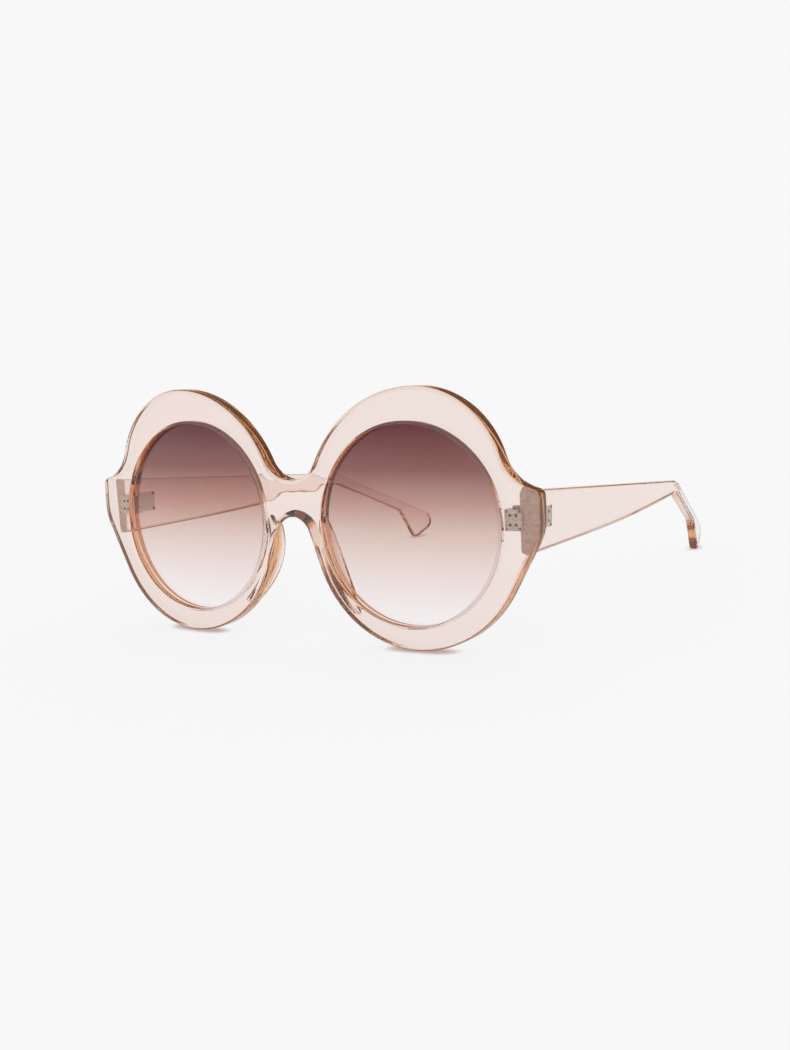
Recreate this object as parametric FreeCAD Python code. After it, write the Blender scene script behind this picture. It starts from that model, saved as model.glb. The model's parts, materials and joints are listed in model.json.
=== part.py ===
import FreeCAD, Part
import math
import os

# Oversized round sunglasses: a wrapped clear front in one piece with its nose pads, two gradient lenses
# held in grooves, and two tall clear temples on three-barrel hinges sunk in the plastic.
# Lengths are in millimetres and angles in degrees. +X is the wearer's left, +Y runs back along the
# temples and +Z is up. Everything is drawn with the front upright, then leaned back to its resting place.

V = FreeCAD.Vector
UP = V(0, 0, 1)
BACK = V(0, 1, 0)
ACROSS = V(1, 0, 0)
ORIGIN = V(0, 0, 0)

# Lens openings and the rim round them
lens_opening_radius = 26.6
bridge_gap = 20.5
rim_below = 6.3
rim_above = 9.7
nose_rim = 3.1
rim_width = 4.7
brow_shift = 3.2
brow_swell = 8.9
flank_tuck = 1.2
front_thickness = 4.6
wrap_radius = 640.0
front_edge_round = 1.1
back_edge_round = 0.6
opening_edge_round = 0.4

# Bridge and nose arch, with heights above the lens centres
arch_rise = 1.2
arch_inset = 1.25
bridge_height = 10.2
saddle_rise = 1.8
saddle_depth = 3.2

# Nose pads moulded on the back of the front, with their ends measured from the lens centres
pad_rise = 1.4
pad_drop = 25.0
pad_reach = 4.2
pad_thickness = 2.5
pad_splay = 8.0
pad_round = 0.8

# Lugs at the outer ends, with heights above the lens centres
lug_reach = 11.15
lug_rise = 9.8
lug_sweep_radius = 12.0
lug_corner_radius = 2.0
lug_flank_radius = 14.0
lug_flank_rise = 2.8

# Lenses and their grooves
lens_curve_radius = 360.0
lens_setback = 0.8
lens_thickness = 1.8
groove_depth = 0.8
lens_clearance = 0.05

# Temples: the tall slab, the bend over the ear and the flared hoof at the end
temple_root_height = 16.4
temple_root_thickness = 4.6
temple_bend_thickness = 3.3
temple_tip_thickness = 2.4
temple_flank_lean = 3.8
slab_length = 88.0
slab_end_height = 3.6
slab_fall = 7.0
belly_share = 0.61
belly_drop = 1.4
belly_soft_share = 0.68
ear_fall = 25.3
ear_length = 46.0
ear_turn = 12.5
ear_turn_radius = 30.0
neck_length = 28.0
toe_fall = 62.0
toe_length = 11.6
bend_top_round = 9.0
bend_under_round = 6.0
kink_round = 3.5
toe_round = 1.6
heel_round = 3.4
temple_edge_round = 0.8
butt_gap = 0.25

# Hinges: axis place, knuckles, sunk feet and screws
hinge_rise = 2.1
hinge_inset = 1.8
hinge_setback = 2.0
knuckle_radius = 1.5
knuckle_height = 1.75
knuckle_gap = 0.1
temple_inner_reach = 4.55
foot_thickness = 1.2
foot_height = 5.4
front_foot_inner_reach = 2.2
front_foot_outer_reach = 2.4
front_arm_reach = 1.2
temple_foot_front_reach = 1.0
temple_foot_back_reach = 8.0
foot_notch = 0.8
key_hole_radius = 0.42
key_hole_depth = 0.8
key_hole_inset = 1.5
foot_clearance = 0.04
screw_radius = 0.6
screw_clearance = 0.05
screw_head_radius = 1.15
screw_head_height = 0.6
screw_slot_width = 0.3
screw_slot_depth = 0.3

# Temple angles: turned in at the open stop, and how far the wearer's right one is folded at rest
temple_toe_in = 0.5
right_rest_fold = 8.5

# Room that cutting shapes run past what they cut
overrun = 2.0

# Faces that meet at less than this angle count as one smooth surface, and points this near count as on it
smooth_angle = 7.5
on_surface = 0.05

# Places worked out from the sizes above
rim_radius = lens_opening_radius + rim_width
lens_x = bridge_gap / 2 + lens_opening_radius
lens_z = rim_below + lens_opening_radius
brow_top = lens_z + lens_opening_radius + rim_above
brow_x = lens_x + brow_shift
arch_top = lens_z + arch_rise
arch_radius = bridge_gap / 2 - nose_rim - arch_inset
lug_x = lens_x + lens_opening_radius + lug_reach
lug_top = lens_z + lug_rise
back_radius = wrap_radius - front_thickness
wrap_centre = V(0, wrap_radius, 0)
hinge_z = lens_z + hinge_rise
temple_inner_x = lens_x + lens_opening_radius + temple_inner_reach
hinge_x = temple_inner_x - hinge_inset


def at_radius(centre, radius, towards):
    """The point at a radius from a centre, on the way to another point."""
    return centre + (towards - centre).normalize() * radius


def arc(centre, start, end):
    """An arc of under half a circle about a centre."""
    middle = (start - centre) + (end - centre)
    return Part.Arc(start, centre + middle.normalize() * (start - centre).Length, end).toShape()


def line(start, end):
    """A straight edge."""
    return Part.LineSegment(start, end).toShape()


def tangent_normal(first, second, reach, turn):
    """The unit normal of a line that touches two circles in the XZ plane."""
    span = second - first
    angle = math.atan2(span.z, span.x) + turn * math.acos(reach / span.Length)
    return V(math.cos(angle), 0, math.sin(angle))


def mirrored(point):
    """The same point on the other side of the nose."""
    return V(-point.x, point.y, point.z)


def rounded_face(points, rounds):
    """A flat face on a list of corners, each rounded by its own radius."""
    count = len(points)
    starts = []
    ends = []
    corners = []
    for index, point in enumerate(points):
        before = (points[index - 1] - point).normalize()
        after = (points[(index + 1) % count] - point).normalize()
        half = before.getAngle(after) / 2
        reach = rounds[index] / math.tan(half)
        starts.append(point + before * reach)
        ends.append(point + after * reach)
        corners.append(point + (before + after).normalize() * (rounds[index] / math.sin(half)))
    edges = []
    for index in range(count):
        if rounds[index] > 0:
            edges.append(arc(corners[index], starts[index], ends[index]))
        edges.append(line(ends[index], starts[(index + 1) % count]))
    return Part.Face(Part.Wire(edges))


def block(low, high):
    """A box between two corners."""
    size = high - low
    return Part.makeBox(size.x, size.y, size.z, low)


def sharp_edges(solid):
    """The edges where two faces meet at an angle."""
    found = []
    for edge in solid.Edges:
        point = edge.valueAt((edge.FirstParameter + edge.LastParameter) / 2)
        faces = solid.ancestorsOfType(edge, Part.Face)
        normals = [face.normalAt(*face.Surface.parameter(point)) for face in faces]
        if len(normals) == 2 and abs(normals[0].dot(normals[1])) < math.cos(math.radians(smooth_angle)):
            found.append(edge)
    return found


def back_of_front(x):
    """How far back the rear face of the wrapped front lies at a place across it."""
    return wrap_radius - math.sqrt(back_radius ** 2 - x ** 2)


def wrap_angle(x):
    """How far the wrapped front is turned at a place across it."""
    return math.degrees(math.asin(x / back_radius))


hinge_turn = wrap_angle(hinge_x)
hinge_point = V(hinge_x, back_of_front(hinge_x), hinge_z)
hinge_point += V(-math.sin(math.radians(hinge_turn)), math.cos(math.radians(hinge_turn)), 0) * hinge_setback


def front_outline():
    """The front seen square on: brow domes, lugs, rims, bridge and nose arch as touching arcs."""
    inner_radius = lens_opening_radius + brow_swell
    outer_radius = lens_opening_radius - flank_tuck
    brow_inner = V(brow_x, 0, brow_top - inner_radius)
    brow_outer = V(brow_x, 0, brow_top - outer_radius)
    dip_low = arch_top + bridge_height
    fall = dip_low - brow_inner.z
    dip_radius = (brow_x ** 2 + fall ** 2 - inner_radius ** 2) / (2 * (inner_radius - fall))
    dip = V(0, 0, dip_low + dip_radius)
    sweep_z = lug_top + lug_sweep_radius
    sweep_span = outer_radius + lug_sweep_radius
    sweep = V(brow_x + math.sqrt(sweep_span ** 2 - (sweep_z - brow_outer.z) ** 2), 0, sweep_z)
    corner_x = lug_x - lug_corner_radius
    corner_span = lug_sweep_radius + lug_corner_radius
    corner = V(corner_x, 0, sweep_z - math.sqrt(corner_span ** 2 - (corner_x - sweep.x) ** 2))
    flank = V(lug_x - lug_flank_radius, 0, lens_z + lug_flank_rise)
    rim = V(bridge_gap / 2 - nose_rim + rim_radius, 0, rim_radius)
    arch = V(0, 0, arch_top - arch_radius)
    flank_normal = tangent_normal(rim, flank, rim_radius - lug_flank_radius, -1)
    nose_normal = tangent_normal(rim, arch, rim_radius + arch_radius, 1)
    dip_end = at_radius(dip, dip_radius, brow_inner)
    brow_point = V(brow_x, 0, brow_top)
    sweep_start = at_radius(sweep, lug_sweep_radius, brow_outer)
    sweep_end = at_radius(sweep, lug_sweep_radius, corner)
    lug_high = V(lug_x, 0, corner.z)
    lug_low = V(lug_x, 0, flank.z)
    flank_end = flank + flank_normal * lug_flank_radius
    rim_start = rim + flank_normal * rim_radius
    rim_end = rim + nose_normal * rim_radius
    arch_end = arch - nose_normal * arch_radius
    edges = [arc(dip, mirrored(dip_end), dip_end), arc(arch, mirrored(arch_end), arch_end)]
    for place in (V, mirrored):
        edges.append(arc(place(brow_inner), place(dip_end), place(brow_point)))
        edges.append(arc(place(brow_outer), place(brow_point), place(sweep_start)))
        edges.append(arc(place(sweep), place(sweep_start), place(sweep_end)))
        edges.append(arc(place(corner), place(sweep_end), place(lug_high)))
        edges.append(line(place(lug_high), place(lug_low)))
        edges.append(arc(place(flank), place(lug_low), place(flank_end)))
        edges.append(line(place(flank_end), place(rim_start)))
        edges.append(arc(place(rim), place(rim_start), place(rim_end)))
        edges.append(line(place(rim_end), place(arch_end)))
    return Part.Face(Part.Wire(Part.__sortEdges__(edges)))


def wrap_drum(radius):
    """An upright drum whose near side is a face of the wrapped front."""
    return Part.makeCylinder(radius, brow_top + 2 * overrun, wrap_centre - UP * overrun, UP)


def drum_distance(edge):
    """How far an edge's middle lies from the axis that the front wraps round."""
    point = edge.valueAt((edge.FirstParameter + edge.LastParameter) / 2)
    return math.hypot(point.x - wrap_centre.x, point.y - wrap_centre.y)


def at_eye(solid):
    """Moves a solid drawn about a lens axis to the wearer's left eye, square to the wrap."""
    angle = math.asin(lens_x / wrap_radius)
    solid.rotate(ORIGIN, UP, math.degrees(angle))
    solid.translate(V(lens_x, wrap_radius * (1 - math.cos(angle)), lens_z))
    return solid


def other_side(solid):
    """The mirror image for the wearer's right."""
    return solid.mirror(ORIGIN, ACROSS)


def lens_disc(radius, clearance):
    """A round piece of the lens's curved shell, grown on both faces by a clearance."""
    centre = BACK * (lens_setback + lens_curve_radius)
    shell = Part.makeSphere(lens_curve_radius + clearance, centre)
    shell = shell.cut(Part.makeSphere(lens_curve_radius - lens_thickness - clearance, centre))
    blank = Part.makeCylinder(radius, front_thickness + 2 * overrun, BACK * -overrun, BACK)
    return at_eye(blank.common(shell))


def lens():
    """A lens whose edge sits in the groove."""
    return lens_disc(lens_opening_radius + groove_depth - lens_clearance, 0)


def nose_pad():
    """One moulded pad: a splayed shell that follows the rim, cut to a crescent seen from the side."""
    root = front_thickness / 2
    length = front_thickness / 2 + pad_reach + overrun
    shrink = length * math.tan(math.radians(pad_splay))
    centre = V(bridge_gap / 2 - nose_rim + rim_radius, root, rim_radius)
    outside = Part.makeCone(rim_radius, rim_radius - shrink, length, centre, BACK)
    hollow = rim_radius - pad_thickness
    inside = Part.makeCone(hollow, hollow - shrink, length, centre, BACK)
    half_chord = (pad_rise + pad_drop) / 2
    bow = (half_chord ** 2 + pad_reach ** 2) / (2 * pad_reach)
    middle = lens_z + (pad_rise - pad_drop) / 2
    crescent = Part.makeCylinder(
        bow, centre.x, V(0, front_thickness + pad_reach - bow, middle), ACROSS
    )
    pad = outside.cut(inside).common(crescent)
    back_edges = []
    for edge in sharp_edges(pad):
        point = edge.valueAt((edge.FirstParameter + edge.LastParameter) / 2)
        if point.y > front_thickness:
            back_edges.append(edge)
    return pad.makeFillet(pad_round, back_edges)


def front_plate():
    """The wrapped front with rounded edges, before its pads and openings."""
    depth = back_of_front(lug_x) + 2 * overrun
    outline = front_outline()
    outline.translate(BACK * -overrun)
    plate = outline.extrude(BACK * depth).common(wrap_drum(wrap_radius)).cut(wrap_drum(back_radius))
    plate = plate.Solids[0]
    front_edges = [edge for edge in plate.Edges if abs(drum_distance(edge) - wrap_radius) < on_surface]
    plate = plate.makeFillet(front_edge_round, front_edges)
    back_edges = [edge for edge in sharp_edges(plate) if drum_distance(edge) - back_radius < on_surface]
    return plate.makeFillet(back_edge_round, back_edges)


def nose_saddle():
    """The cutter that slopes the underside of the bridge up towards the wearer."""
    reach = saddle_depth + overrun
    base = V(0, front_thickness - saddle_depth, arch_top - arch_radius)
    return Part.makeCone(arch_radius, arch_radius + saddle_rise * reach / saddle_depth, reach, base, BACK)


def frame_front():
    """The one-piece front: rims, bridge, lugs and pads, grooved for the lenses and sunk for the hinges."""
    front = front_plate().cut(nose_saddle())
    depth = front_thickness + 3 * overrun
    opening = at_eye(Part.makeCylinder(lens_opening_radius, depth, BACK * -overrun, BACK))
    for cut in (opening, other_side(opening)):
        front = front.cut(cut)
    rims = []
    for edge in sharp_edges(front):
        if abs(drum_distance(edge) - wrap_radius) < on_surface:
            rims.append(edge)
    front = front.makeFillet(opening_edge_round, rims)
    pad = nose_pad()
    front = front.fuse([pad, other_side(pad)])
    groove = lens_disc(lens_opening_radius + groove_depth, lens_clearance)
    pocket = in_lug(front_foot(foot_clearance))
    for cut in (groove, pocket):
        front = front.cut(cut).cut(other_side(cut))
    return front


def in_lug(solid):
    """Moves a solid drawn about the hinge axis to the wearer's left lug, square to its back face."""
    solid.rotate(ORIGIN, UP, hinge_turn)
    solid.translate(hinge_point)
    return solid


def on_temple(solid):
    """Moves a solid drawn about the hinge axis to the wearer's left temple at its open stop."""
    solid.rotate(ORIGIN, UP, temple_toe_in)
    solid.translate(hinge_point)
    return solid


def knuckle_base(index):
    """The height of a knuckle's lower face from the middle of the hinge, counted from below."""
    stack = 3 * knuckle_height + 2 * knuckle_gap
    return index * (knuckle_height + knuckle_gap) - stack / 2


def knuckle(index, arm):
    """One barrel on its arm, bored for the screw."""
    base = UP * knuckle_base(index)
    barrel = Part.makeCylinder(knuckle_radius, knuckle_height, base, UP).fuse(arm)
    return barrel.cut(Part.makeCylinder(screw_radius + screw_clearance, knuckle_height, base, UP))


def front_foot(clearance):
    """The plain block of the foot in the lug, grown by a clearance for its pocket."""
    front = -hinge_setback - foot_thickness
    low = V(-front_foot_inner_reach - clearance, front - clearance, -foot_height / 2)
    high = V(front_foot_outer_reach + clearance, -hinge_setback + clearance, foot_height / 2)
    return block(low - UP * clearance, high + UP * clearance)


def temple_foot(clearance):
    """The plain block of the foot in the temple, grown by a clearance for its pocket."""
    low = V(hinge_inset - clearance, -temple_foot_front_reach - clearance, -foot_height / 2)
    high = V(hinge_inset + foot_thickness + clearance, temple_foot_back_reach + clearance, foot_height / 2)
    return block(low - UP * clearance, high + UP * clearance)


def keyed(foot):
    """A foot with its corners cut out and four blind holes in its sunk face, which key it in the plastic."""
    box = foot.BoundBox
    flat = box.XLength > box.YLength
    run = V(foot_notch, box.YLength, 0) if flat else V(box.XLength, foot_notch, 0)
    size = run + UP * foot_notch
    sunk = V(box.Center.x, box.YMin, box.Center.z) if flat else V(box.XMax, box.Center.y, box.Center.z)
    step = ACROSS * (box.XLength / 2 - key_hole_inset) if flat else BACK * (box.YLength / 2 - key_hole_inset)
    rise = UP * (box.ZLength / 2 - key_hole_inset)
    for spot in (step + rise, step - rise, rise - step, -step - rise):
        into = BACK if flat else -ACROSS
        foot = foot.cut(Part.makeCylinder(key_hole_radius, key_hole_depth, sunk + spot, into))
    for x in (box.XMin, box.XMax - size.x):
        for y in (box.YMin, box.YMax - size.y):
            for z in (box.ZMin, box.ZMax - size.z):
                foot = foot.cut(block(V(x, y, z), V(x, y, z) + size))
    return foot


def front_leaf():
    """The fixed leaf: a notched foot in the lug with the upper and lower knuckles."""
    leaf = keyed(front_foot(0))
    for index in (0, 2):
        base = UP * knuckle_base(index)
        low = V(-front_foot_inner_reach, -hinge_setback - foot_thickness / 2, 0) + base
        high = V(front_arm_reach, 0, knuckle_height) + base
        leaf = leaf.fuse(knuckle(index, block(low, high)))
    return in_lug(leaf)


def temple_leaf():
    """The moving leaf: a notched foot in the temple with the middle knuckle."""
    base = UP * knuckle_base(1)
    low = V(0, -temple_foot_front_reach, 0) + base
    high = V(hinge_inset + foot_thickness / 2, knuckle_radius, knuckle_height) + base
    leaf = keyed(temple_foot(0)).fuse(knuckle(1, block(low, high)))
    return on_temple(leaf)


def hinge_screw():
    """The slotted screw that pins the three knuckles together."""
    foot = UP * knuckle_base(0)
    head = UP * (knuckle_base(2) + knuckle_height)
    shank = Part.makeCylinder(screw_radius, (head - foot).Length, foot, UP)
    cap = Part.makeCylinder(screw_head_radius, screw_head_height, head, UP)
    slot_low = V(-screw_head_radius, -screw_slot_width / 2, screw_head_height - screw_slot_depth) + head
    slot_high = V(screw_head_radius, screw_slot_width / 2, screw_head_height) + head
    return in_lug(shank.fuse(cap).cut(block(slot_low, slot_high)))


def along(angle, length):
    """A step in the side view, turned up from straight back by an angle."""
    return V(0, math.cos(math.radians(angle)), math.sin(math.radians(angle))) * length


def temple_side_face():
    """The temple seen from the side, from its butt to the hoof, about the hinge axis."""
    top = lug_top - hinge_z
    butt = -hinge_setback - overrun
    bend = slab_length - hinge_setback
    root_top = V(0, butt, top)
    bend_top = V(0, bend, top - slab_fall)
    bend_under = V(0, bend, top - slab_fall - slab_end_height)
    root_under = V(0, butt, top - temple_root_height)
    heel = bend_top + along(-ear_fall, ear_length)
    kink = bend_under + along(-ear_fall, neck_length)
    toe = kink + along(-toe_fall, toe_length)
    belly = root_under + (bend_under - root_under) * belly_share - UP * belly_drop
    half = (root_under - belly).getAngle(bend_under - belly) / 2
    belly_round = belly_soft_share * (bend_under - belly).Length * math.tan(half)
    points = [root_top, bend_top, heel, toe, kink, bend_under, belly, root_under]
    rounds = [0, bend_top_round, heel_round, toe_round, kink_round, bend_under_round, belly_round, 0]
    return rounded_face(points, rounds)


def temple_plan_face():
    """The temple seen from above: a tapering slab that turns in behind the ear."""
    butt = -hinge_setback - overrun
    bend = slab_length - hinge_setback
    tail = ear_length + overrun
    turn_in = tail * math.tan(math.radians(ear_turn))
    inner_bend = V(hinge_inset, bend, 0)
    inner_end = inner_bend + V(-turn_in, tail, 0)
    points = [
        V(hinge_inset, butt, 0),
        inner_bend,
        inner_end,
        inner_end + ACROSS * temple_tip_thickness,
        inner_bend + ACROSS * temple_bend_thickness,
        V(hinge_inset + temple_root_thickness, butt, 0),
    ]
    outer_radius = ear_turn_radius + temple_bend_thickness
    return rounded_face(points, [0, ear_turn_radius, 0, 0, outer_radius, 0])


def temple():
    """The wearer's left temple at its open stop, mitred to the back of the lug."""
    wide = slab_length
    side = temple_side_face()
    side.translate(ACROSS * -wide)
    plan = temple_plan_face()
    plan.translate(UP * -wide)
    arm = side.extrude(ACROSS * (2 * wide)).common(plan.extrude(UP * (2 * wide)))
    outer_top = V(hinge_inset + temple_root_thickness, -wide, lug_top - hinge_z)
    shaving = Part.makeBox(wide, 3 * wide, wide, outer_top - UP * wide)
    shaving.rotate(outer_top, BACK, temple_flank_lean)
    arm = arm.cut(shaving)
    long_edges = []
    for edge in sharp_edges(arm):
        point = edge.valueAt((edge.FirstParameter + edge.LastParameter) / 2)
        if point.y > -hinge_setback:
            long_edges.append(edge)
    arm = arm.makeFillet(temple_edge_round, long_edges)
    arm = on_temple(arm.cut(temple_foot(foot_clearance)))
    return arm.common(wrap_drum(back_radius - butt_gap))


def swung(solid):
    """The wearer's right temple pieces, mirrored and folded in by their angle at rest."""
    solid = other_side(solid)
    solid.rotate(mirrored(hinge_point), UP, -right_rest_fold)
    return solid


def lowest(solids):
    """The lowest height that some solids reach."""
    return min(solid.optimalBoundingBox().ZMin for solid in solids)


def all_nodes():
    """Every piece by its name, with the front upright."""
    left = {
        "lens": lens(),
        "hinge_front_leaf": front_leaf(),
        "hinge_screw": hinge_screw(),
    }
    left_moving = {"temple": temple(), "hinge_temple_leaf": temple_leaf()}
    nodes = {"frame_front": frame_front()}
    for name, solid in left.items():
        nodes[f"{name}_left"] = solid
        nodes[f"{name}_right"] = other_side(solid)
    for name, solid in left_moving.items():
        nodes[f"{name}_left"] = solid
        nodes[f"{name}_right"] = swung(solid)
    return nodes


def lean_back(nodes):
    """Leans every piece back until the rims and the lower temple tip stand on one level."""
    lean = 0
    temples = [nodes["temple_left"], nodes["temple_right"]]
    for settle in range(3):
        rise = lowest(temples) - lowest([nodes["frame_front"]])
        step = math.degrees(math.atan2(rise, nodes["temple_left"].BoundBox.YMax))
        for solid in nodes.values():
            solid.rotate(ORIGIN, ACROSS, -step)
        lean += step
    return FreeCAD.Rotation(ACROSS, -lean)


def main():
    """Builds every piece, sets the glasses down and writes one file for each piece."""
    nodes = all_nodes()
    tilt = lean_back(nodes)
    whole = Part.makeCompound(list(nodes.values())).optimalBoundingBox()
    shift = V(-whole.Center.x, -whole.Center.y, -whole.ZMin)
    os.makedirs("parts", exist_ok=True)
    for name, solid in nodes.items():
        solid.translate(shift)
        solid.exportStep(f"parts/{name}.step")
        print(name, "solids", len(solid.Solids), "valid", solid.isValid(), "volume", round(solid.Volume, 2))
    print("size", whole.XLength, whole.YLength, whole.ZLength)
    print("hinge axis", tilt.multVec(UP))
    print("left hinge", tilt.multVec(hinge_point) + shift)
    print("right hinge", tilt.multVec(mirrored(hinge_point)) + shift)


main()
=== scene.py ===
import json
import logging
import math
from collections.abc import Sequence
from dataclasses import dataclass, field
from enum import Enum

import bpy
from mathutils import Matrix, Vector


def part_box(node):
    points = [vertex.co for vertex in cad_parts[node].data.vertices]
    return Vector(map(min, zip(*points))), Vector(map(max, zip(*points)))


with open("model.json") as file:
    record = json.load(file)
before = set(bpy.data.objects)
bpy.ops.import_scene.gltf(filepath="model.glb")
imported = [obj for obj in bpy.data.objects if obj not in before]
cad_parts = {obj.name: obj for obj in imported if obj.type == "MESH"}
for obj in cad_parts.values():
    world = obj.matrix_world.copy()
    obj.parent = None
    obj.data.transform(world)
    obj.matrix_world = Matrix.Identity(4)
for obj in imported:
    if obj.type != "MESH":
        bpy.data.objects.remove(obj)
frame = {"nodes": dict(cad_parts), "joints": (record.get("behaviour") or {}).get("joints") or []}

log = logging.getLogger("sunglasses")

Node = bpy.types.Node
Socket = bpy.types.NodeSocket
Tree = bpy.types.NodeTree

MM = 0.001
FRAME_WIDTH_PX = 790
FRAME_HEIGHT_PX = 1050
ACROSS = Vector((1.0, 0.0, 0.0))

# The sRGB curve has a straight foot and goes on as a lifted power.
SRGB_FOOT = 0.04045
SRGB_FOOT_SLOPE = 12.92
SRGB_LIFT = 0.055
SRGB_POWER = 2.4

# A Mix node's sockets share their names, so they are told apart by their numbers.
MIX_SHARE, MIX_FLOAT_A, MIX_FLOAT_B, MIX_COLOUR_A, MIX_COLOUR_B = 0, 2, 3, 6, 7
MIX_FLOAT_OUT, MIX_COLOUR_OUT = 0, 2


class Side(Enum):
    """The wearer's two sides, with the sign of X on each."""

    LEFT = 1
    RIGHT = -1

    @property
    def word(self) -> str:
        """The side's name as the nodes and bodies spell it."""
        return self.name.lower()


def linear(hex_colour: str) -> tuple[float, float, float, float]:
    """Turn an sRGB hex colour into the linear values that shaders take.

    Args:
        hex_colour: Six hex digits after a hash sign.

    Returns:
        Linear red, green and blue, and an alpha of 1.
    """
    values = []
    for start in (1, 3, 5):
        share = int(hex_colour[start:start + 2], 16) / 255
        if share <= SRGB_FOOT:
            values.append(share / SRGB_FOOT_SLOPE)
        else:
            values.append(((share + SRGB_LIFT) / (1 + SRGB_LIFT)) ** SRGB_POWER)
    return (*values, 1.0)


def add_node(
    tree: Tree,
    kind: str,
    settings: dict | None = None,
    links: dict | None = None,
    stops: Sequence[tuple[float, str]] = (),
) -> Node:
    """Add a node, set its properties and inputs, and link what feeds it.

    Args:
        tree: The node tree that gets the node.
        kind: The node's Blender type name.
        settings: Property names, or input names or numbers, with their values.
        links: Input names or numbers with the output socket that feeds each.
        stops: Places and hex colours of a colour ramp.

    Returns:
        The new node.
    """
    node = tree.nodes.new(kind)
    for key, value in (settings or {}).items():
        if isinstance(key, str) and hasattr(node, key):
            setattr(node, key, value)
        else:
            node.inputs[key].default_value = value
    for key, socket in (links or {}).items():
        tree.links.new(socket, node.inputs[key])
    if stops:
        ramp = node.color_ramp
        while len(ramp.elements) < len(stops):
            ramp.elements.new(0.5)
        for element, (place, colour) in zip(ramp.elements, stops):
            element.position = place
            element.color = linear(colour)
    return node


def new_material(name: str) -> tuple[bpy.types.Material, Tree]:
    """Start a node material with an empty tree.

    Args:
        name: The material's name.

    Returns:
        The material and its node tree.
    """
    material = bpy.data.materials.new(name)
    material.use_nodes = True
    material.node_tree.nodes.clear()
    return material, material.node_tree


@dataclass
class Skin:
    """A plastic's surface, as the sockets that feed its shader."""

    wall: Socket
    tint: Socket
    clear: Socket
    rough: Socket


@dataclass(frozen=True)
class ChampagnePlastic:
    """Injection-moulded, tumble-polished clear plastic with a champagne dye, for a piece shaped like sheet.

    The dye is in the bulk, so a face seen square on is pale pink-beige. A side wall, which light crosses
    lengthwise, has that light's amber painted into its surface colour, in the dye's own hue. Polish leaves
    soft swells and a faint uneven haze. The unit direction through the sheet tells faces and walls apart.
    """

    through: Vector
    name: str = "champagne_plastic_polished"
    face_colour: str = "#f9f4f8"
    wall_colour: str = "#edb68a"
    face_clearness: float = 0.97
    wall_clearness: float = 0.91
    wall_facing: float = 0.35
    face_facing: float = 0.85
    dye_colour: str = "#f7be5e"
    dye_density: float = 48.0
    ior: float = 1.49
    haze_mm: float = 14.0
    haze_detail: float = 3.0
    haze_low: float = 0.3
    haze_high: float = 0.7
    haze_roughness: float = 0.035
    swell_mm: float = 7.0
    swell_detail: float = 1.0
    swell_height_mm: float = 0.004

    def walls(self, tree: Tree, where: Node) -> Socket:
        """Find the side walls, by how far the surface turns from facing through the sheet.

        Args:
            tree: The material's node tree.
            where: Its texture coordinates.

        Returns:
            What is 1 on side walls and 0 on faces.
        """
        facing = add_node(tree, "ShaderNodeVectorMath", {"operation": "DOT_PRODUCT", 1: self.through},
                          {0: where.outputs["Normal"]})
        either_way = add_node(tree, "ShaderNodeMath", {"operation": "ABSOLUTE"}, {0: facing.outputs["Value"]})
        wall = add_node(tree, "ShaderNodeMapRange",
                        {"From Min": self.wall_facing, "From Max": self.face_facing,
                         "To Min": 1.0, "To Max": 0.0},
                        {"Value": either_way.outputs["Value"]})
        return wall.outputs["Result"]

    def skin(self, tree: Tree, where: Node) -> Skin:
        """Make the polished surface: pale clear faces, amber walls and an uneven haze.

        Args:
            tree: The material's node tree.
            where: Its texture coordinates.

        Returns:
            The surface's sockets.
        """
        wall = self.walls(tree, where)
        # Painted light: side walls take an amber surface colour, the dye's own hue standing for light that
        # crossed the sheet lengthwise.
        tint = add_node(tree, "ShaderNodeMix",
                        {"data_type": "RGBA", MIX_COLOUR_A: linear(self.face_colour),
                         MIX_COLOUR_B: linear(self.wall_colour)},
                        {MIX_SHARE: wall})
        clear = add_node(tree, "ShaderNodeMix",
                         {"data_type": "FLOAT", MIX_FLOAT_A: self.face_clearness,
                          MIX_FLOAT_B: self.wall_clearness},
                         {MIX_SHARE: wall})
        haze = add_node(tree, "ShaderNodeTexNoise",
                        {"Scale": 1 / (self.haze_mm * MM), "Detail": self.haze_detail},
                        {"Vector": where.outputs["Object"]})
        rough = add_node(tree, "ShaderNodeMapRange",
                         {"From Min": self.haze_low, "From Max": self.haze_high,
                          "To Min": 0.0, "To Max": self.haze_roughness},
                         {"Value": haze.outputs["Fac"]})
        return Skin(wall, tint.outputs[MIX_COLOUR_OUT], clear.outputs[MIX_FLOAT_OUT], rough.outputs["Result"])

    def swell(self, tree: Tree, where: Node) -> Node:
        """Make the soft swells that polishing leaves.

        Args:
            tree: The material's node tree.
            where: Its texture coordinates.

        Returns:
            The bump node.
        """
        waves = add_node(tree, "ShaderNodeTexNoise",
                         {"Scale": 1 / (self.swell_mm * MM), "Detail": self.swell_detail},
                         {"Vector": where.outputs["Object"]})
        return add_node(tree, "ShaderNodeBump", {"Strength": 1.0, "Distance": self.swell_height_mm * MM},
                        {"Height": waves.outputs["Fac"]})

    def material(self) -> bpy.types.Material:
        """Put the surface, the swells and the dye together.

        Returns:
            The finished material.
        """
        material, tree = new_material(self.name)
        where = add_node(tree, "ShaderNodeTexCoord")
        skin = self.skin(tree, where)
        shader = add_node(tree, "ShaderNodeBsdfPrincipled", {"IOR": self.ior},
                          {"Base Color": skin.tint, "Transmission Weight": skin.clear,
                           "Roughness": skin.rough, "Normal": self.swell(tree, where).outputs["Normal"]})
        dye = add_node(tree, "ShaderNodeVolumeAbsorption",
                       {"Color": linear(self.dye_colour), "Density": self.dye_density})
        add_node(tree, "ShaderNodeOutputMaterial", None,
                 {"Surface": shader.outputs["BSDF"], "Volume": dye.outputs["Volume"]})
        return material


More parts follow.
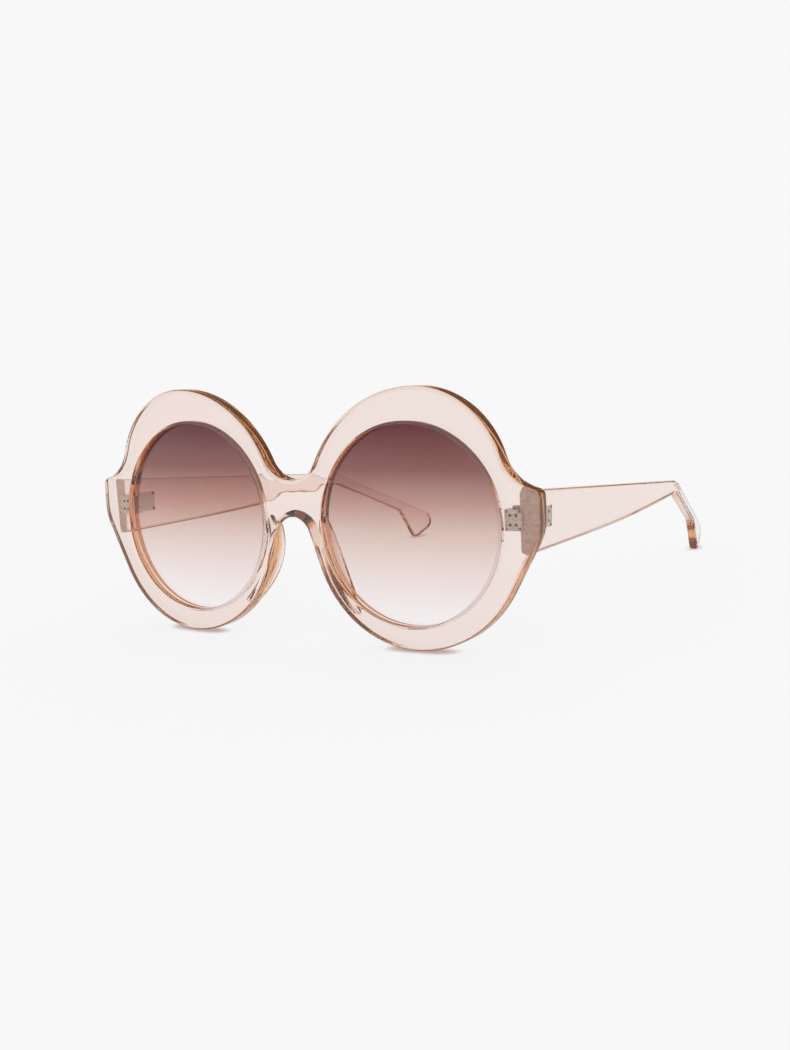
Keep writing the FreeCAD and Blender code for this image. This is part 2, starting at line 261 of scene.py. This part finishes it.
@dataclass(frozen=True, kw_only=True)
class FrontPlastic(ChampagnePlastic):
    """The plastic on the front, with its nose.

    The bridge has uneven, softly rolling faces, so what shows through it is wavy. The pads behind the plate
    are thin and round, so they are left out of the painted amber that walls elsewhere get. The plate's front
    face lies at plate_face, in metres along the way through.
    """

    plate_face: float
    roll_height_mm: float = 0.5
    bridge_half_mm: float = 7.0
    bridge_end_mm: float = 13.0
    pad_root_mm: float = 5.0
    pad_clear_mm: float = 7.0
    pads_half_mm: float = 18.0
    pads_end_mm: float = 22.0

    def from_nose(self, tree: Tree, where: Node) -> Socket:
        """Measure how far each point lies to either side of the nose.

        Args:
            tree: The material's node tree.
            where: Its texture coordinates.

        Returns:
            The distance in metres.
        """
        place = add_node(tree, "ShaderNodeSeparateXYZ", None, {0: where.outputs["Object"]})
        aside = add_node(tree, "ShaderNodeMath", {"operation": "ABSOLUTE"}, {0: place.outputs["X"]})
        return aside.outputs["Value"]

    def walls(self, tree: Tree, where: Node) -> Socket:
        """Find the side walls, without the pads.

        Args:
            tree: The material's node tree.
            where: Its texture coordinates.

        Returns:
            What is 1 on side walls and 0 on faces and pads.
        """
        depth = add_node(tree, "ShaderNodeVectorMath", {"operation": "DOT_PRODUCT", 1: self.through},
                         {0: where.outputs["Object"]})
        in_plate = add_node(tree, "ShaderNodeMapRange",
                            {"From Min": self.plate_face + self.pad_root_mm * MM,
                             "From Max": self.plate_face + self.pad_clear_mm * MM,
                             "To Min": 1.0, "To Max": 0.0},
                            {"Value": depth.outputs["Value"]})
        beside = add_node(tree, "ShaderNodeMapRange",
                          {"From Min": self.pads_half_mm * MM, "From Max": self.pads_end_mm * MM},
                          {"Value": self.from_nose(tree, where)})
        no_pad = add_node(tree, "ShaderNodeMath", {"operation": "MAXIMUM"},
                          {0: beside.outputs["Result"], 1: in_plate.outputs["Result"]})
        wall = add_node(tree, "ShaderNodeMath", {"operation": "MULTIPLY"},
                        {0: super().walls(tree, where), 1: no_pad.outputs["Value"]})
        return wall.outputs["Value"]

    def swell(self, tree: Tree, where: Node) -> Node:
        """Make the swells, much higher on the rolled bridge.

        Args:
            tree: The material's node tree.
            where: Its texture coordinates.

        Returns:
            The bump node.
        """
        bump = super().swell(tree, where)
        height = add_node(tree, "ShaderNodeMapRange",
                          {"From Min": self.bridge_half_mm * MM, "From Max": self.bridge_end_mm * MM,
                           "To Min": self.roll_height_mm * MM, "To Max": self.swell_height_mm * MM},
                          {"Value": self.from_nose(tree, where)})
        tree.links.new(height.outputs["Result"], bump.inputs["Distance"])
        return bump


@dataclass(frozen=True, kw_only=True)
class TemplePlastic(ChampagnePlastic):
    """The plastic on a temple, with its sawn end and its neck.

    The end behind the lug is left as sawn, so it is matte and mottled. The neck over the ear is thin and
    polished round, so its walls stay pale. Lengths are counted along backwards from sawn_start, in metres.
    """

    backwards: Vector
    sawn_start: float
    name: str = "champagne_plastic_polished_sawn_end"
    neck_colour: str = "#fbe9e4"
    neck_clearness: float = 0.82
    neck_mm: float = 88.0
    toe_mm: float = 108.0
    neck_fade_mm: float = 8.0
    sawn_colour: str = "#fbf1ec"
    sawn_dull_colour: str = "#e6d6ce"
    sawn_clearness: float = 0.1
    sawn_depth_mm: float = 0.3
    sawn_roughness: tuple[float, float] = (0.45, 0.75)
    grit_mm: float = 0.8
    grit_detail: float = 4.0
    grit_dull: float = 0.38
    grit_pale: float = 0.62

    def skin(self, tree: Tree, where: Node) -> Skin:
        """Make the polished surface, then the neck and the sawn end.

        Args:
            tree: The material's node tree.
            where: Its texture coordinates.

        Returns:
            The surface's sockets.
        """
        skin = super().skin(tree, where)
        reach = add_node(tree, "ShaderNodeVectorMath", {"operation": "DOT_PRODUCT", 1: self.backwards},
                         {0: where.outputs["Object"]})
        run = add_node(tree, "ShaderNodeMath", {"operation": "SUBTRACT", 1: self.sawn_start},
                       {0: reach.outputs["Value"]})
        self.pale_neck(tree, skin, run.outputs["Value"])
        self.saw_end(tree, skin, run.outputs["Value"], where)
        return skin

    def pale_neck(self, tree: Tree, skin: Skin, run: Socket) -> None:
        """Make the neck's walls paler, from the bend to the toe.

        Args:
            tree: The material's node tree.
            skin: The surface to change.
            run: The length from the sawn end.
        """
        band = skin.wall
        for start_mm, before, after in ((self.neck_mm, 0.0, 1.0), (self.toe_mm, 1.0, 0.0)):
            fade = add_node(tree, "ShaderNodeMapRange",
                            {"From Min": start_mm * MM, "From Max": (start_mm + self.neck_fade_mm) * MM,
                             "To Min": before, "To Max": after},
                            {"Value": run})
            band = add_node(tree, "ShaderNodeMath", {"operation": "MULTIPLY"},
                            {0: band, 1: fade.outputs["Result"]}).outputs["Value"]
        # On the neck, the painted amber on the walls gives way to a pale painted colour.
        tint = add_node(tree, "ShaderNodeMix", {"data_type": "RGBA", MIX_COLOUR_B: linear(self.neck_colour)},
                        {MIX_SHARE: band, MIX_COLOUR_A: skin.tint})
        clear = add_node(tree, "ShaderNodeMix", {"data_type": "FLOAT", MIX_FLOAT_B: self.neck_clearness},
                         {MIX_SHARE: band, MIX_FLOAT_A: skin.clear})
        skin.tint = tint.outputs[MIX_COLOUR_OUT]
        skin.clear = clear.outputs[MIX_FLOAT_OUT]

    def saw_end(self, tree: Tree, skin: Skin, run: Socket, where: Node) -> None:
        """Make the first fraction of a millimetre matte and mottled, as a saw leaves it.

        Args:
            tree: The material's node tree.
            skin: The surface to change.
            run: The length from the sawn end.
            where: The material's texture coordinates.
        """
        sawn = add_node(tree, "ShaderNodeMath", {"operation": "LESS_THAN", 1: self.sawn_depth_mm * MM},
                        {0: run}).outputs["Value"]
        # Real saw marks are near 0.1 mm; they are drawn coarser so that they show.
        grit = add_node(tree, "ShaderNodeTexNoise",
                        {"Scale": 1 / (self.grit_mm * MM), "Detail": self.grit_detail},
                        {"Vector": where.outputs["Object"]})
        mottle = add_node(tree, "ShaderNodeValToRGB", None, {"Fac": grit.outputs["Fac"]},
                          [(self.grit_dull, self.sawn_dull_colour), (self.grit_pale, self.sawn_colour)])
        least, most = self.sawn_roughness
        grain = add_node(tree, "ShaderNodeMapRange", {"To Min": least, "To Max": most},
                         {"Value": grit.outputs["Fac"]})
        tint = add_node(tree, "ShaderNodeMix", {"data_type": "RGBA"},
                        {MIX_SHARE: sawn, MIX_COLOUR_A: skin.tint, MIX_COLOUR_B: mottle.outputs["Color"]})
        clear = add_node(tree, "ShaderNodeMix", {"data_type": "FLOAT", MIX_FLOAT_B: self.sawn_clearness},
                         {MIX_SHARE: sawn, MIX_FLOAT_A: skin.clear})
        rough = add_node(tree, "ShaderNodeMix", {"data_type": "FLOAT"},
                         {MIX_SHARE: sawn, MIX_FLOAT_A: skin.rough, MIX_FLOAT_B: grain.outputs["Result"]})
        skin.tint = tint.outputs[MIX_COLOUR_OUT]
        skin.clear = clear.outputs[MIX_FLOAT_OUT]
        skin.rough = rough.outputs[MIX_FLOAT_OUT]


@dataclass(frozen=True)
class GradientLens:
    """Cast lens plastic, dip-dyed brown and coated against reflections.

    The dye is deepest at the top, where the lens stayed longest in the bath, and fades to clear at the
    bottom. Its stops are shares of the lens's height.
    """

    name: str = "gradient_lens_dip_dyed"
    dye_stops: tuple[tuple[float, str], ...] = (
        (0.04, "#fbf6f7"),
        (0.21, "#f3e6e4"),
        (0.34, "#ebd7d1"),
        (0.47, "#dcc0b7"),
        (0.60, "#c0978d"),
        (0.77, "#8b5a56"),
        (0.98, "#633540"),
    )
    ior: float = 1.5
    coating: float = 0.12
    streak_mm: float = 9.0
    streak_detail: float = 2.0
    streak_share: float = 0.012
    haze_roughness: float = 0.02

    def material(self, centre: Vector, up: Vector, radius: float) -> bpy.types.Material:
        """Make the material for one lens.

        Args:
            centre: The lens's middle in the part's frame.
            up: The unit direction in which the dye deepens.
            radius: From the middle to the rim, in metres.

        Returns:
            The finished material.
        """
        material, tree = new_material(self.name)
        place = add_node(tree, "ShaderNodeTexCoord").outputs["Object"]
        height = 2 * radius
        bottom = centre.dot(up) - radius
        rise = add_node(tree, "ShaderNodeVectorMath", {"operation": "DOT_PRODUCT", 1: up / height},
                        {0: place})
        level = add_node(tree, "ShaderNodeMath", {"operation": "SUBTRACT", 1: bottom / height},
                         {0: rise.outputs["Value"]})
        streak = add_node(tree, "ShaderNodeTexNoise",
                          {"Scale": 1 / (self.streak_mm * MM), "Detail": self.streak_detail},
                          {"Vector": place})
        uneven = add_node(tree, "ShaderNodeMapRange",
                          {"To Min": -self.streak_share, "To Max": self.streak_share},
                          {"Value": streak.outputs["Fac"]})
        dip = add_node(tree, "ShaderNodeMath", {"operation": "ADD"},
                       {0: level.outputs["Value"], 1: uneven.outputs["Result"]})
        dye = add_node(tree, "ShaderNodeValToRGB", None, {"Fac": dip.outputs["Value"]}, self.dye_stops)
        haze = add_node(tree, "ShaderNodeMapRange", {"To Min": 0.0, "To Max": self.haze_roughness},
                        {"Value": streak.outputs["Fac"]})
        shader = add_node(tree, "ShaderNodeBsdfPrincipled",
                          {"IOR": self.ior, "Transmission Weight": 1.0, "Specular IOR Level": self.coating},
                          {"Base Color": dye.outputs["Color"], "Roughness": haze.outputs["Result"]})
        add_node(tree, "ShaderNodeOutputMaterial", None, {"Surface": shader.outputs["BSDF"]})
        return material


@dataclass(frozen=True)
class BarrelMetal:
    """Small stamped or turned hinge metal, tumbled with grit.

    Tumbling leaves a soft satin with fine pits and slightly brighter high spots. Holes and corners get
    painted
    shade: they are darkened where little open sky is seen nearby.
    """

    name: str
    colour: str
    dull_colour: str
    roughness: float
    pit_roughness: float = 0.12
    high_spot_polish: float = 0.08
    pit_mm: float = 0.35
    pit_detail: float = 3.0
    pit_depth_mm: float = 0.02
    pit_strength: float = 0.6
    pit_level: float = 0.35
    high_spot_level: float = 0.62
    grime_colour: str = "#2c221c"
    grime_mm: float = 0.8

    def material(self) -> bpy.types.Material:
        """Make the satin metal with its pits and its grime.

        Returns:
            The finished material.
        """
        material, tree = new_material(self.name)
        place = add_node(tree, "ShaderNodeTexCoord").outputs["Object"]
        # Real tumbling pits are near 0.05 mm; they are drawn coarser so that they show.
        pits = add_node(tree, "ShaderNodeTexNoise",
                        {"Scale": 1 / (self.pit_mm * MM), "Detail": self.pit_detail},
                        {"Vector": place}).outputs["Fac"]
        tone = add_node(tree, "ShaderNodeValToRGB", None, {"Fac": pits},
                        [(self.pit_level, self.dull_colour), (self.high_spot_level, self.colour)])
        # Painted shade: holes and corners that see little open sky within a short reach turn towards a dark
        # brown.
        open_sky = add_node(tree, "ShaderNodeAmbientOcclusion",
                            {"only_local": True, "Distance": self.grime_mm * MM})
        shaded_tone = add_node(tree, "ShaderNodeMix", {"data_type": "RGBA", MIX_COLOUR_A: linear(self.grime_colour)},
                        {MIX_SHARE: open_sky.outputs["AO"], MIX_COLOUR_B: tone.outputs["Color"]})
        rough = add_node(tree, "ShaderNodeMapRange",
                         {"To Min": self.roughness + self.pit_roughness,
                          "To Max": self.roughness - self.high_spot_polish},
                         {"Value": pits})
        bump = add_node(tree, "ShaderNodeBump",
                        {"Distance": self.pit_depth_mm * MM, "Strength": self.pit_strength}, {"Height": pits})
        shader = add_node(tree, "ShaderNodeBsdfPrincipled", {"Metallic": 1.0},
                          {"Base Color": shaded_tone.outputs[MIX_COLOUR_OUT], "Roughness": rough.outputs["Result"],
                           "Normal": bump.outputs["Normal"]})
        add_node(tree, "ShaderNodeOutputMaterial", None, {"Surface": shader.outputs["BSDF"]})
        return material


NICKEL_SILVER = BarrelMetal("nickel_silver_tumbled", "#ece6dc", "#b3a99d", 0.3)
SCREW_STEEL = BarrelMetal("screw_steel_turned", "#c9c7c3", "#8f8c88", 0.28)


def dress(node: str, material: bpy.types.Material) -> None:
    """Give a carried-over piece its material.

    Args:
        node: The piece's name.
        material: What it is made of.
    """
    slots = frame["nodes"][node].data.materials
    slots.clear()
    slots.append(material)
    log.info("dressed %s with %s", node, material.name)


def front_up() -> Vector:
    """The way up the leaned front, which is the left hinge's own direction."""
    return Vector(frame["joints"][0]["axis"]).normalized()


def straight_back() -> Vector:
    """The way straight back through the leaned front."""
    return front_up().cross(ACROSS)


@dataclass
class Front:
    """The wrapped front with its two lenses."""

    lens: GradientLens = field(default_factory=GradientLens)
    lens_opening_mm: float = 53.2
    nose_half_mm: float = 6.0

    def plastic(self) -> FrontPlastic:
        """Fit the plastic to the front, whose plate starts at the foremost point of its nose.

        Returns:
            The plastic with its direction and the place of its plate.
        """
        through = straight_back()
        points = [vertex.co for vertex in frame["nodes"]["frame_front"].data.vertices]
        nose = [point for point in points if abs(point.x) < self.nose_half_mm * MM]
        return FrontPlastic(through, plate_face=min(point.dot(through) for point in nose))

    def build(self) -> None:
        """Dress the front and both lenses."""
        dress("frame_front", self.plastic().material())
        for side in Side:
            node = f"lens_{side.word}"
            low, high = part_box(node)
            dress(node, self.lens.material((low + high) / 2, front_up(), self.lens_opening_mm / 2 * MM))


@dataclass
class Temple:
    """One temple, polished all over but for its sawn end behind the lug."""

    side: Side
    wrap_turn_deg: float = 6.3

    def rest_fold_deg(self) -> float:
        """How far the temple is folded at rest, which is how far its hinge can still open."""
        hinges = {joint["name"]: joint for joint in frame["joints"]}
        return -hinges[f"{self.side.word}_fold"]["range_deg"][0]

    def backwards(self, turn_deg: float) -> Vector:
        """The unit direction that runs back from the front, turned inwards as asked."""
        turn = math.radians(turn_deg)
        return straight_back() * math.cos(turn) - ACROSS * (math.sin(turn) * self.side.value)

    def plastic(self) -> TemplePlastic:
        """Fit the plastic to the temple, whose end is sawn square to the wrapped lug with the temple open.

        Returns:
            The plastic with its directions and the place of its sawn end.
        """
        fold_deg = self.rest_fold_deg()
        through = self.backwards(fold_deg).cross(front_up())
        backwards = self.backwards(self.wrap_turn_deg + fold_deg)
        points = [vertex.co for vertex in frame["nodes"][f"temple_{self.side.word}"].data.vertices]
        sawn_start = min(point.dot(backwards) for point in points)
        return TemplePlastic(through, backwards=backwards, sawn_start=sawn_start)

    def build(self) -> None:
        """Dress the temple."""
        dress(f"temple_{self.side.word}", self.plastic().material())


@dataclass
class Hinge:
    """One three-barrel hinge: two leaves and the screw through them."""

    side: Side

    def build(self, leaf: bpy.types.Material, screw: bpy.types.Material) -> None:
        """Dress the leaves and the screw.

        Args:
            leaf: The leaves' metal.
            screw: The screw's metal.
        """
        dress(f"hinge_front_leaf_{self.side.word}", leaf)
        dress(f"hinge_temple_leaf_{self.side.word}", leaf)
        dress(f"hinge_screw_{self.side.word}", screw)


def sent_on(tree: Tree, path: Node) -> Socket:
    """Tell whether a reflection or a refraction sent the ray.

    Args:
        tree: The node tree.
        path: Its Light Path node.

    Returns:
        What is 1 for such rays and 0 for others.
    """
    ray = add_node(tree, "ShaderNodeMath", {"operation": "MAXIMUM"},
                   {0: path.outputs["Is Glossy Ray"], 1: path.outputs["Is Transmission Ray"]})
    return ray.outputs["Value"]


@dataclass
class Studio:
    """A pale sweep under soft light, with the camera at the photograph's place.

    The room turns from pale to cove to ceiling at three heights of the unit way to it. The contact shade is
    full where contact_shut of the sky is open, and gone at contact_open.
    """

    camera_mm: tuple[float, float, float] = (262.43, -387.19, 111.80)
    target_mm: tuple[float, float, float] = (6.15, -24.85, 23.97)
    roll_deg: float = -5.29
    focal_px: float = 1552.4
    sensor_mm: float = 36.0
    floor_mm: float = 6000.0
    pale: str = "#f8f8f8"
    cove: str = "#e6b48a"
    ceiling: str = "#7a4e34"
    pale_top: float = 0.05
    cove_level: float = 0.13
    ceiling_level: float = 0.28
    floor_glow: float = 0.88
    sky_level: float = 0.86
    contact_colour: str = "#c0aaa6"
    contact_mm: float = 2.2
    contact_shut: float = 0.2
    contact_open: float = 0.95
    sun_angle_deg: float = 50.0
    sun_from_mm: tuple[float, float, float] = (-300.0, 350.0, 1000.0)

    def build(self) -> None:
        """Add the floor, the world, the lamp and the camera."""
        self.add_floor()
        self.add_world()
        self.add_sun()
        self.add_camera()

    def paper(self) -> bpy.types.Material:
        """Make the floor's paper, evenly pale but for its shadow and a narrow shade at each contact.

        Returns:
            The finished material.
        """
        material, tree = new_material("pale_paper_sweep")
        paper = add_node(tree, "ShaderNodeBsdfDiffuse", {"Color": linear(self.pale)})
        contact = add_node(tree, "ShaderNodeAmbientOcclusion", {"Distance": self.contact_mm * MM})
        shade = add_node(tree, "ShaderNodeValToRGB", None, {"Fac": contact.outputs["AO"]},
                         [(self.contact_shut, self.contact_colour), (self.contact_open, self.pale)])
        glow = add_node(tree, "ShaderNodeEmission", {"Strength": 1.0}, {"Color": shade.outputs["Color"]})
        path = add_node(tree, "ShaderNodeLightPath")
        seen = add_node(tree, "ShaderNodeMath", {"operation": "MAXIMUM"},
                        {0: path.outputs["Is Camera Ray"], 1: sent_on(tree, path)})
        share = add_node(tree, "ShaderNodeMath", {"operation": "MULTIPLY", 1: self.floor_glow},
                         {0: seen.outputs["Value"]})
        shader = add_node(tree, "ShaderNodeMixShader", None,
                          {0: share.outputs["Value"], 1: paper.outputs["BSDF"], 2: glow.outputs["Emission"]})
        add_node(tree, "ShaderNodeOutputMaterial", None, {"Surface": shader.outputs["Shader"]})
        return material

    def add_floor(self) -> None:
        """Lay a wide pale floor that keeps the shadow."""
        half = self.floor_mm * MM / 2
        corners = [(-half, -half, 0), (half, -half, 0), (half, half, 0), (-half, half, 0)]
        mesh = bpy.data.meshes.new("floor")
        mesh.from_pydata(corners, [], [(0, 1, 2, 3)])
        mesh.materials.append(self.paper())
        floor = bpy.data.objects.new("floor", mesh)
        bpy.context.scene.collection.objects.link(floor)

    def add_world(self) -> None:
        """Make the room white all round, with a warm ceiling that only reflections and refractions meet."""
        world = bpy.data.worlds.new("studio")
        world.use_nodes = True
        tree = world.node_tree
        tree.nodes.clear()
        path = add_node(tree, "ShaderNodeLightPath")
        way = add_node(tree, "ShaderNodeTexCoord").outputs["Generated"]
        height = add_node(tree, "ShaderNodeSeparateXYZ", None, {0: way})
        walls = add_node(tree, "ShaderNodeValToRGB", None, {"Fac": height.outputs["Z"]},
                         [(self.pale_top, self.pale), (self.cove_level, self.cove),
                          (self.ceiling_level, self.ceiling)])
        # Light that reaches the floor through clear plastic still comes from the even white sky.
        direct = add_node(tree, "ShaderNodeMath", {"operation": "SUBTRACT", "use_clamp": True},
                          {0: sent_on(tree, path), 1: path.outputs["Diffuse Depth"]})
        sky = (self.sky_level, self.sky_level, self.sky_level, 1.0)
        room = add_node(tree, "ShaderNodeMix", {"data_type": "RGBA", MIX_COLOUR_A: sky},
                        {MIX_SHARE: direct.outputs["Value"], MIX_COLOUR_B: walls.outputs["Color"]})
        seen = add_node(tree, "ShaderNodeMix", {"data_type": "RGBA", MIX_COLOUR_B: linear(self.pale)},
                        {MIX_SHARE: path.outputs["Is Camera Ray"],
                         MIX_COLOUR_A: room.outputs[MIX_COLOUR_OUT]})
        back = add_node(tree, "ShaderNodeBackground", {"Strength": 1.0},
                        {"Color": seen.outputs[MIX_COLOUR_OUT]})
        add_node(tree, "ShaderNodeOutputWorld", None, {"Surface": back.outputs["Background"]})
        bpy.context.scene.world = world

    def add_sun(self) -> None:
        """Hang one very wide soft lamp that brings a level floor to its own colour."""
        lamp = bpy.data.lights.new("key", "SUN")
        way = Vector(self.sun_from_mm).normalized()
        lamp.energy = math.pi * (1 - self.sky_level) / way.z
        lamp.angle = math.radians(self.sun_angle_deg)
        key = bpy.data.objects.new("key", lamp)
        key.rotation_euler = way.to_track_quat("Z", "Y").to_euler()
        bpy.context.scene.collection.objects.link(key)

    def add_camera(self) -> None:
        """Set the camera, rolled as the photograph is."""
        data = bpy.data.cameras.new("camera")
        data.sensor_width = self.sensor_mm
        data.lens = self.sensor_mm * self.focal_px / max(FRAME_WIDTH_PX, FRAME_HEIGHT_PX)
        place = Vector(self.camera_mm) * MM
        back = (place - Vector(self.target_mm) * MM).normalized()
        roll = Matrix.Rotation(math.radians(self.roll_deg), 3, "Z")
        turn = back.to_track_quat("Z", "Y").to_matrix() @ roll
        camera = bpy.data.objects.new("camera", data)
        camera.matrix_world = Matrix.Translation(place) @ turn.to_4x4()
        bpy.context.scene.collection.objects.link(camera)
        bpy.context.scene.camera = camera


def main() -> None:
    """Build the sunglasses and the studio in order."""
    logging.basicConfig(level=logging.INFO, format="%(message)s")
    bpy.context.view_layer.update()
    Front().build()
    leaf = NICKEL_SILVER.material()
    screw = SCREW_STEEL.material()
    for side in Side:
        Temple(side).build()
        Hinge(side).build(leaf, screw)
    Studio().build()
    bpy.context.scene.view_settings.view_transform = "Standard"


if __name__ == "__main__":
    main()
